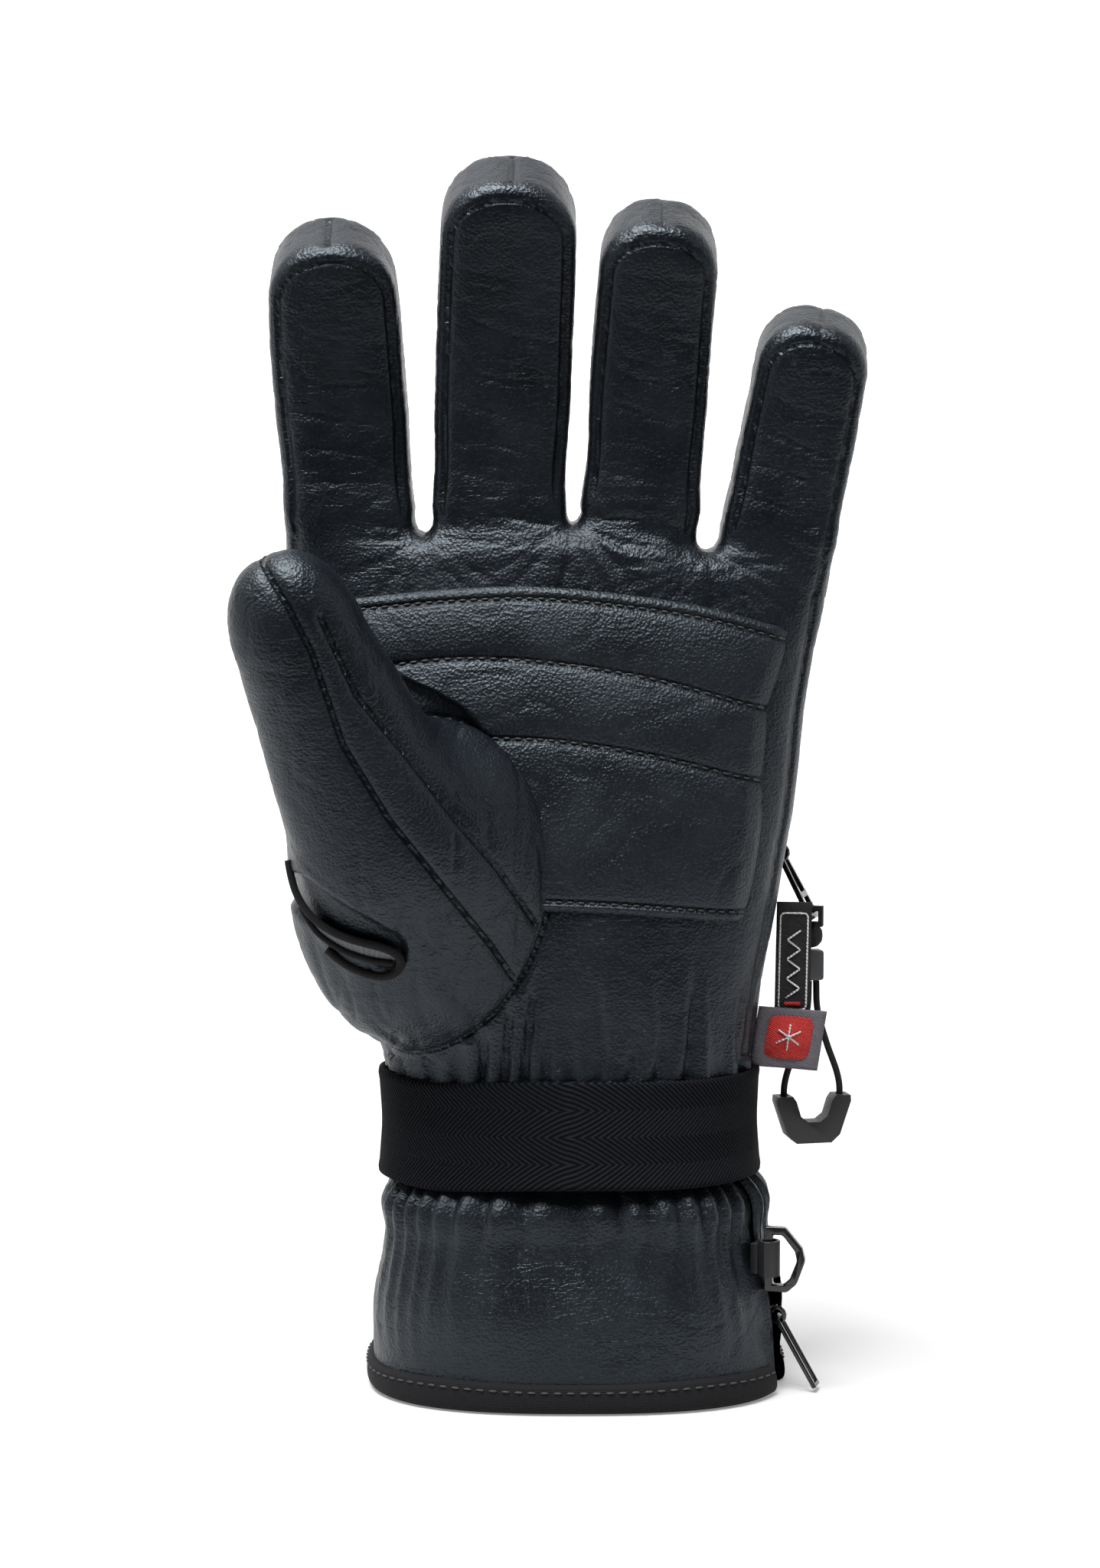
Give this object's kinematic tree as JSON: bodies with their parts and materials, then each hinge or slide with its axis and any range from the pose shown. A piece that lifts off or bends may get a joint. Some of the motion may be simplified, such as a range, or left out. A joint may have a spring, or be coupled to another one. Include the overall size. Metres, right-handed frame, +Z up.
{
  "type": "ski glove",
  "caption": "Insulated leather ski glove for the left hand with hinged fingers and thumb, a gauntlet cuff, wrist strap, zips with pulls and a clip ring.",
  "frame": {"origin": "on the ground under the middle of the glove's box, without the cord pull", "axes": "+Z up along the fingers from the cuff, +X from the thumb side to the little-finger side, +Y from the palm to the back of the hand"},
  "size_m": [0.1458, 0.0942, 0.2891],
  "materials": {
    "leather": "smooth black goat leather with a slight sheen",
    "patch_leather": "black palm leather, a little flatter and lighter",
    "fleece": "brushed black fleece",
    "insulation": "white fibre wadding",
    "elastic": "black woven elastic",
    "foam": "closed-cell foam",
    "hem_binding": "black textile binding",
    "webbing": "black twill webbing",
    "hook_and_loop": "black hook-and-loop tape",
    "rubber": "matt dark grey moulded rubber",
    "binding_cloth": "black bound edge",
    "ripstop": "dark grey ripstop cloth",
    "zip_tape": "black woven zip tape",
    "zip_teeth": "black coil teeth",
    "black_metal": "gloss black painted metal",
    "cord": "thin black cord",
    "label_black": "black woven label with a light frame",
    "label_grey": "grey woven label"
  },
  "bodies": {
    "hand": {"palm_leather": "leather", "back_leather": "leather", "hand_insulation": "insulation", "hand_liner": "fleece", "wrist_elastic": "elastic", "web_index_middle": "leather", "web_middle_ring": "leather", "web_ring_little": "leather", "palm_foam": "foam", "palm_patch": "patch_leather", "gauntlet_front": "leather", "gauntlet_back": "leather", "cuff_binding": "hem_binding", "wrist_strap": "webbing", "strap_loop_pad": "hook_and_loop", "thumb_gusset": "leather", "slot_binding": "binding_cloth", "slot_insert": "ripstop", "cuff_zip_tape_front": "zip_tape", "cuff_zip_tape_back": "zip_tape", "cuff_zip_teeth_front": "zip_teeth", "cuff_zip_teeth_back": "zip_teeth", "side_zip_tape_front": "zip_tape", "side_zip_tape_back": "zip_tape", "side_zip_teeth_front": "zip_teeth", "side_zip_teeth_back": "zip_teeth", "ring_keeper": "rubber", "label_black": "label_black", "label_grey": "label_grey"},
    "cuff_zip_slider": {"cuff_zip_slider": "black_metal"},
    "cuff_zip_pull": {"cuff_zip_pull": "black_metal"},
    "side_zip_slider": {"side_zip_slider": "black_metal"},
    "side_zip_pull": {"side_zip_pull": "black_metal"},
    "cord_pull": {"cord_knot": "cord", "cord_clamp": "rubber", "cord_loop": "cord", "cord_grip": "rubber"},
    "clip_ring": {"clip_ring": "black_metal"},
    "strap_tab": {"strap_tab": "rubber", "strap_hook_pad": "hook_and_loop"},
    "thumb": {"thumb_outer": "leather", "thumb_strip": "leather", "thumb_inner": "leather", "thumb_liner": "fleece"},
    "index": {"index_palm_face": "leather", "index_back_face": "leather", "index_fourchette": "leather", "index_liner": "fleece"},
    "middle": {"middle_palm_face": "leather", "middle_back_face": "leather", "middle_fourchette": "leather", "middle_liner": "fleece"},
    "ring": {"ring_palm_face": "leather", "ring_back_face": "leather", "ring_fourchette": "leather", "ring_liner": "fleece"},
    "little": {"little_palm_face": "leather", "little_back_face": "leather", "little_fourchette": "leather", "little_liner": "fleece"}
  },
  "joints": [
    {"name": "index_flex", "type": "hinge", "parent": "hand", "child": "index", "pos_m": [-0.04748, 0.01099, 0.2103], "axis": [0.998, 0, 0.0628], "range_deg": [-6, 50]},
    {"name": "middle_flex", "type": "hinge", "parent": "hand", "child": "middle", "pos_m": [-0.01218, 0.01099, 0.2113], "axis": [0.9993, 0, -0.0384], "range_deg": [-6, 60]},
    {"name": "ring_flex", "type": "hinge", "parent": "hand", "child": "ring", "pos_m": [0.02052, 0.01099, 0.2113], "axis": [0.9971, 0, -0.0767], "range_deg": [-6, 60]},
    {"name": "little_flex", "type": "hinge", "parent": "hand", "child": "little", "pos_m": [0.05342, 0.01099, 0.2048], "axis": [0.9829, 0, -0.184], "range_deg": [-6, 60]},
    {"name": "thumb_swing", "type": "hinge", "parent": "hand", "child": "thumb", "pos_m": [-0.04088, -0.02401, 0.1413], "axis": [-0.0893, 0.9704, 0.2244], "range_deg": [-12, 12]},
    {"name": "cuff_zip_slide", "type": "slide", "parent": "hand", "child": "cuff_zip_slider", "axis": [-0.1232, 0.0258, 0.992], "range_m": [-0.007, 0.0015]},
    {"name": "cuff_pull_swing", "type": "hinge", "parent": "cuff_zip_slider", "child": "cuff_zip_pull", "pos_m": [0.05292, 0.00008, 0.0176], "axis": [-0.2588, -0.9659, 0], "range_deg": [-12, 90]},
    {"name": "side_zip_slide", "type": "slide", "parent": "hand", "child": "side_zip_slider", "axis": [0.1568, -0.0369, 0.9869], "range_m": [-0.017, 0.012]},
    {"name": "side_pull_swing", "type": "hinge", "parent": "side_zip_slider", "child": "side_zip_pull", "pos_m": [0.05421, 0.01898, 0.12511], "axis": [-0.2588, -0.9659, 0], "range_deg": [0, 50]},
    {"name": "cord_pull_swing", "type": "hinge", "parent": "side_zip_pull", "child": "cord_pull", "pos_m": [0.06191, 0.01692, 0.1101], "axis": [-0.2588, -0.9659, 0], "range_deg": [-1.5, 60]},
    {"name": "clip_ring_swing", "type": "hinge", "parent": "hand", "child": "clip_ring", "pos_m": [0.05072, -0.00461, 0.0321], "axis": [0, 0, 1], "range_deg": [-60, 60]},
    {"name": "strap_tab_peel", "type": "hinge", "parent": "hand", "child": "strap_tab", "pos_m": [-0.0186, 0.04045, 0.0633], "axis": [0, 0, 1], "range_deg": [0, 95]}
  ]
}
